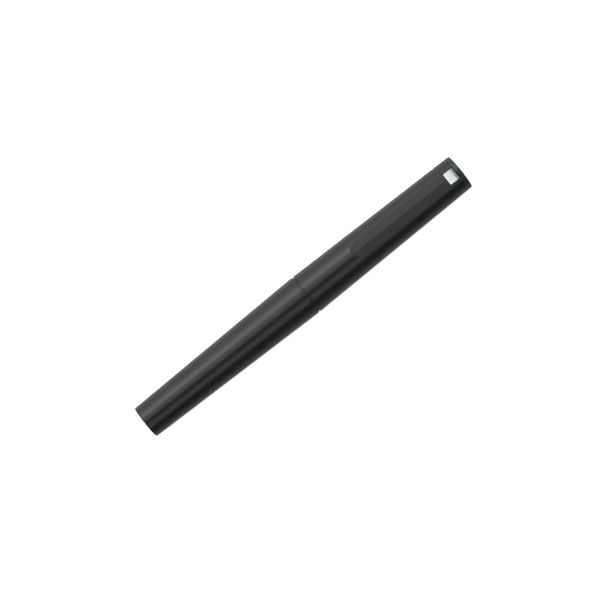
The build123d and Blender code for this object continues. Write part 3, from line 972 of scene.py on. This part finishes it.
def cap_shell_mesh():
    """The cap as one grid whose lines follow the V, the ridge and the panel's long edges."""
    rows = [cap_row(x, drop) for x, drop in cap_stations()]
    bore = [
        (RIM_X, CAP_BORE_END_R),
        (BORE_END, CAP_BORE_END_R),
        (BORE_START, BORE_START_R),
        (SOCKET_END, SOCKET_R),
        (CAP_LIP + 0.3, SOCKET_R),
        (CAP_LIP, 6.45),
    ]
    for x, r in bore:
        angles = [math.atan2(y, z) for _, y, z in rows[0]]
        rows.append([(x, r * math.sin(a), r * math.cos(a)) for a in angles])
    verts = [point for row in rows for point in row]
    faces = loop_faces(len(rows), len(rows[0]), closed=True)
    return new_object("cap_tube", verts, outward(verts, faces))


def plate(name, length, width, corner, bottom, top, edge, steps=6):
    """A rounded rectangular plate lying on the panel, with softened upper edges."""
    loops = [(0.0, bottom), (0.0, top - edge)]
    for turn in (30, 60, 90):
        a = math.radians(turn)
        loops.append((edge * (1 - math.cos(a)), top - edge + edge * math.sin(a)))
    verts = []
    for inset, height in loops:
        for sx, sy, start in ((1, 1, 0), (-1, 1, 90), (-1, -1, 180), (1, -1, 270)):
            cx = sx * (length / 2 - corner)
            cy = sy * (width / 2 - corner)
            for k in range(steps + 1):
                a = math.radians(start + 90 * k / steps)
                r = max(corner - inset, 0.02)
                verts.append((cx + r * math.cos(a), cy + r * math.sin(a), height))
    columns = 4 * (steps + 1)
    faces = loop_faces(len(loops), columns, closed=False)
    faces.append(list(reversed(range(columns))))
    faces.append(list(range(len(verts) - columns, len(verts))))
    ridge_r = cap_radius(INLAY_X) - PANEL_DEPTH
    foot = Vector((INLAY_X, ridge_r * math.sin(INLAY_TURN), ridge_r * math.cos(INLAY_TURN)))
    spin = Matrix.Rotation(-INLAY_TURN, 4, "X") @ Matrix.Rotation(LEAN, 4, "Y")
    placed = [tuple(foot + spin @ Vector(point)) for point in verts]
    return new_object(name, placed, outward(placed, faces))


def slope_cap_side(piece, run, slope):
    """Crease the plate near the cap's end, and let its last stretch slope down from there."""
    mesh = bmesh.new()
    mesh.from_mesh(piece.data)
    crease_x = (high("bright_inlay") - run) * MM
    everything = mesh.verts[:] + mesh.edges[:] + mesh.faces[:]
    bmesh.ops.bisect_plane(mesh, geom=everything, plane_co=(crease_x, 0, 0), plane_no=(1, 0, 0))
    for vert in mesh.verts:
        height = vert.co.z - AXIS_Z
        beyond = vert.co.x - crease_x
        if beyond > 0 and height > (cap_radius(INLAY_X) - PANEL_DEPTH - 0.4) * MM:
            vert.co.z -= beyond * math.tan(slope)
    bmesh.ops.recalc_face_normals(mesh, faces=mesh.faces)
    mesh.to_mesh(piece.data)
    mesh.free()
    piece.data.set_sharp_from_angle(angle=math.radians(20))


def cut_away(piece, cutter):
    """Subtract the cutter from the piece, and drop the cutter."""
    piece.modifiers.clear()
    boolean = piece.modifiers.new("pocket", "BOOLEAN")
    boolean.object = cutter
    boolean.operation = "DIFFERENCE"
    boolean.solver = "EXACT"
    graph = bpy.context.evaluated_depsgraph_get()
    cut = bpy.data.meshes.new_from_object(piece.evaluated_get(graph))
    piece.modifiers.clear()
    piece.data = cut
    cut.set_sharp_from_angle(angle=SHARP_ANGLE)
    bpy.data.objects.remove(cutter)
    even_shading(piece)


cap_tube = cap_shell_mesh()
POCKET_PLAY = 0.06
POCKET_DEPTH = 0.66
pocket = plate(
    "pocket",
    INLAY_LENGTH + POCKET_PLAY,
    INLAY_WIDTH + POCKET_PLAY,
    INLAY_CORNER,
    -POCKET_DEPTH,
    1.5,
    0.01,
)
cut_away(cap_tube, pocket)
stands_for(cap_tube, "cap_shell")
inlay = plate("inlay_plate", INLAY_LENGTH, INLAY_WIDTH, INLAY_CORNER, -INLAY_THICK, 0.02, 0.05)
slope_cap_side(inlay, INLAY_STRIP, math.radians(10))
stands_for(inlay, "bright_inlay")

# ======================= inside the cap =======================

# The end plug's flange shows as the cap's rim, and its face is slightly dished.
PRESS_FIT = 0.02
HOLLOW_R = 3.9
rim_corners = [
    (BORE_END + 0.3, HOLLOW_R),
    (BORE_END + 0.3, CAP_BORE_END_R - PRESS_FIT, 0.3),
    (RIM_X, CAP_BORE_END_R - PRESS_FIT),
    (RIM_X, CAP_END_R, 0.08),
    (CAP_END, CAP_END_R - 0.03, 0.45),
    (CAP_END, 4.7, 0.3),
    (CAP_END - 0.15, 4.3, 0.3),
    (CAP_END - 0.2, 0),
    (CAP_END - 1.4, 0),
    (CAP_END - 1.4, HOLLOW_R),
]
stands_for(lathe("cap_rim_plug", rim_corners, 0.08), "cap_end_plug")


def cap_bore(x):
    """Radius of the cap's tapered bore."""
    return straight_taper(x, BORE_START, BORE_START_R, BORE_END, CAP_BORE_END_R)


LINER_START = low("inner_cap")
LINER_END = high("inner_cap")
GUIDE_START = 49.0
GUIDE_R = 2.9
CUP_HOLE_R = 2.4
liner_corners = [
    (LINER_START, cap_bore(LINER_START) - 0.5),
    (LINER_START + 0.5, cap_bore(LINER_START + 0.5) - PRESS_FIT),
    (LINER_END, cap_bore(LINER_END) - PRESS_FIT),
    (LINER_END, GUIDE_R),
    (GUIDE_START, GUIDE_R),
    (GUIDE_START, CUP_HOLE_R),
    (47.9, CUP_HOLE_R),
    (45.5, 4.7, 0.3),
    (LINER_START, 4.75),
]
stands_for(lathe("cap_liner", liner_corners, 0.08, SMALL_SIDES), "inner_cap")

DISC_R = 5.1
VENT_HOLE_R = 0.6
disc_corners = [
    (LINER_END, VENT_HOLE_R),
    (LINER_END, DISC_R),
    (BORE_END, DISC_R),
    (BORE_END, VENT_HOLE_R),
]
stands_for(lathe("vented_disc", disc_corners, 0.1, SMALL_SIDES), "spring_disc")

PLUNGER_FRONT = low("seal_plunger")
PLUNGER_BACK = 57.0
PLUNGER_R = GUIDE_R - 0.05
PLUNGER_WAIST_R = GUIDE_R - 0.3
SOCKET_FLOOR = 55.9
CUP_SOCKET_R = 1.3
STUD_R = 1.5
STUD_END = high("seal_plunger")
plunger_corners = [
    (PLUNGER_FRONT, CUP_SOCKET_R),
    (PLUNGER_FRONT, PLUNGER_R, 0.15),
    (51.0, PLUNGER_R),
    (51.2, PLUNGER_WAIST_R),
    (54.8, PLUNGER_WAIST_R),
    (55.0, PLUNGER_R),
    (PLUNGER_BACK, PLUNGER_R, 0.15),
    (PLUNGER_BACK, STUD_R),
    (STUD_END, STUD_R, 0.3),
    (STUD_END, 0),
    (SOCKET_FLOOR, 0),
    (SOCKET_FLOOR, CUP_SOCKET_R, 0.3),
]
stands_for(lathe("seal_piston", plunger_corners, 0.06, SMALL_SIDES), "seal_plunger")

CUP_FRONT = low("seal_cup")
CUP_BACK = high("seal_cup")
CUP_STEM_R = 1.28
cup_corners = [
    (CUP_FRONT, 0.75, 0.15),
    (CUP_FRONT, 1.9, 0.25),
    (PLUNGER_FRONT, 2.2),
    (PLUNGER_FRONT, CUP_STEM_R),
    (CUP_BACK, CUP_STEM_R),
    (CUP_BACK, 0.6),
]
stands_for(lathe("soft_cup", cup_corners, 0.06, SMALL_SIDES), "seal_cup")

# The spring runs from the plunger's back to the disc, its first and last coils closed.
WIRE_R = 0.22
CLOSED_PITCH = 0.46
spring_start = PLUNGER_BACK + WIRE_R + 0.02
spring_end = LINER_END - WIRE_R - 0.02
spring = coil("seal_coil", spring_start, spring_end - spring_start, 4.5, 2.2, WIRE_R, CLOSED_PITCH)
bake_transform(spring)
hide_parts("seal_spring")
spring.data.materials.append(LOOKS[SLOT_OF["seal_spring"]])

# ======================= camera, floor, backdrop and light =======================

scene = bpy.context.scene
scene.view_settings.view_transform = "Standard"

VIEW_HEIGHT = 0.882
FRAME_WIDTH = 0.20714
camera_data = bpy.data.cameras.new("camera")
camera_data.sensor_width = 36.0
camera_data.lens = 36.0 * VIEW_HEIGHT / FRAME_WIDTH
camera = bpy.data.objects.new("camera", camera_data)
camera.location = (-0.00146, -0.00017, AXIS_Z + VIEW_HEIGHT)
camera.rotation_euler = (0, 0, math.radians(-38.554))
scene.collection.objects.link(camera)
scene.camera = camera


def stage_object(name, verts, faces, material):
    """Part of the set round the pen: seen by the camera, but not mirrored in the pen."""
    mesh = bpy.data.meshes.new(name)
    mesh.from_pydata(verts, [], faces)
    mesh.materials.append(material)
    piece = bpy.data.objects.new(name, mesh)
    scene.collection.objects.link(piece)
    piece.visible_glossy = False
    return piece


STAGE = 3.0
floor_white = bpy.data.materials.new("floor_white")
floor_white.use_nodes = True
floor_shader = floor_white.node_tree.nodes["Principled BSDF"]
floor_shader.inputs["Base Color"].default_value = (0.9, 0.9, 0.9, 1)
floor_shader.inputs["Roughness"].default_value = 0.9
floor_shader.inputs["Emission Color"].default_value = (1, 1, 1, 1)
floor_shader.inputs["Emission Strength"].default_value = 0.76
floor_corners = [(-STAGE, -STAGE, 0), (STAGE, -STAGE, 0), (STAGE, STAGE, 0), (-STAGE, STAGE, 0)]
stage_object("floor", floor_corners, [(0, 1, 2, 3)], floor_white)

backdrop_white = bpy.data.materials.new("backdrop_white")
backdrop_white.use_nodes = True
backdrop_shader = backdrop_white.node_tree.nodes["Principled BSDF"]
backdrop_shader.inputs["Base Color"].default_value = (0, 0, 0, 1)
backdrop_shader.inputs["Emission Color"].default_value = (1, 1, 1, 1)
backdrop_shader.inputs["Emission Strength"].default_value = 1.0
wall_corners = ((-STAGE, -STAGE), (STAGE, -STAGE), (STAGE, STAGE), (-STAGE, STAGE))
backdrop_verts = [(x, y, z) for z in (0, STAGE) for x, y in wall_corners]
backdrop_faces = [(0, 1, 5, 4), (1, 2, 6, 5), (2, 3, 7, 6), (3, 0, 4, 7), (4, 5, 6, 7)]
backdrop = stage_object("backdrop", backdrop_verts, backdrop_faces, backdrop_white)
backdrop.visible_diffuse = False
backdrop.visible_transmission = False
backdrop.visible_shadow = False

world = bpy.data.worlds.new("studio")
scene.world = world
world.use_nodes = True
sky = world.node_tree
background = sky.nodes["Background"]
split = sky.nodes.new("ShaderNodeSeparateXYZ")
sky.links.new(sky.nodes.new("ShaderNodeTexCoord").outputs["Generated"], split.inputs[0])


def sky_math(operation, first, second=None):
    """A math node fed by two outputs, or by an output and a number."""
    node = sky.nodes.new("ShaderNodeMath")
    node.operation = operation
    sky.links.new(first, node.inputs[0])
    if isinstance(second, (int, float)):
        node.inputs[1].default_value = second
    elif second is not None:
        sky.links.new(second, node.inputs[1])
    return node.outputs[0]


# Light by angle from straight overhead, towards +Y positive: soft boxes either side of the camera.
STUDIO = [
    (-180, 0.3),
    (-140, 0.5),
    (-118, 0.52),
    (-98, 0.38),
    (-82, 0.23),
    (-66, 0.15),
    (-54, 0.27),
    (-46, 0.66),
    (-38, 1.0),
    (-28, 0.95),
    (-18, 0.62),
    (-11, 0.36),
    (-6, 0.16),
    (-1, 0.4),
    (5, 0.88),
    (13, 1.42),
    (22, 1.42),
    (30, 1.9),
    (38, 2.85),
    (44, 3.35),
    (54, 2.5),
    (68, 1.74),
    (84, 1.33),
    (104, 0.98),
    (128, 1.0),
    (150, 0.6),
    (180, 0.3),
]
BRIGHTEST = 4.0
END_FALLOFF = 0.8
angle = sky_math("ARCTAN2", split.outputs["Y"], split.outputs["Z"])
span = sky.nodes.new("ShaderNodeMapRange")
span.inputs["From Min"].default_value = -math.pi
span.inputs["From Max"].default_value = math.pi
sky.links.new(angle, span.inputs["Value"])
ramp = sky.nodes.new("ShaderNodeValToRGB")
sky.links.new(span.outputs["Result"], ramp.inputs["Fac"])
sky.links.new(ramp.outputs["Color"], background.inputs["Color"])
for index, (degrees, value) in enumerate(STUDIO):
    place = (degrees + 180) / 360
    level = value / BRIGHTEST
    if index < 2:
        stop = ramp.color_ramp.elements[index]
        stop.position = place
    else:
        stop = ramp.color_ramp.elements.new(place)
    stop.color = (level, level, level, 1)

# The soft boxes end beyond the pen's ends, so the light falls off along X.
along_squared = sky_math("MULTIPLY", split.outputs["X"], split.outputs["X"])
dimmed = sky_math("MULTIPLY", along_squared, -END_FALLOFF * BRIGHTEST)
strength = sky_math("ADD", dimmed, BRIGHTEST)
sky.links.new(strength, background.inputs["Strength"])
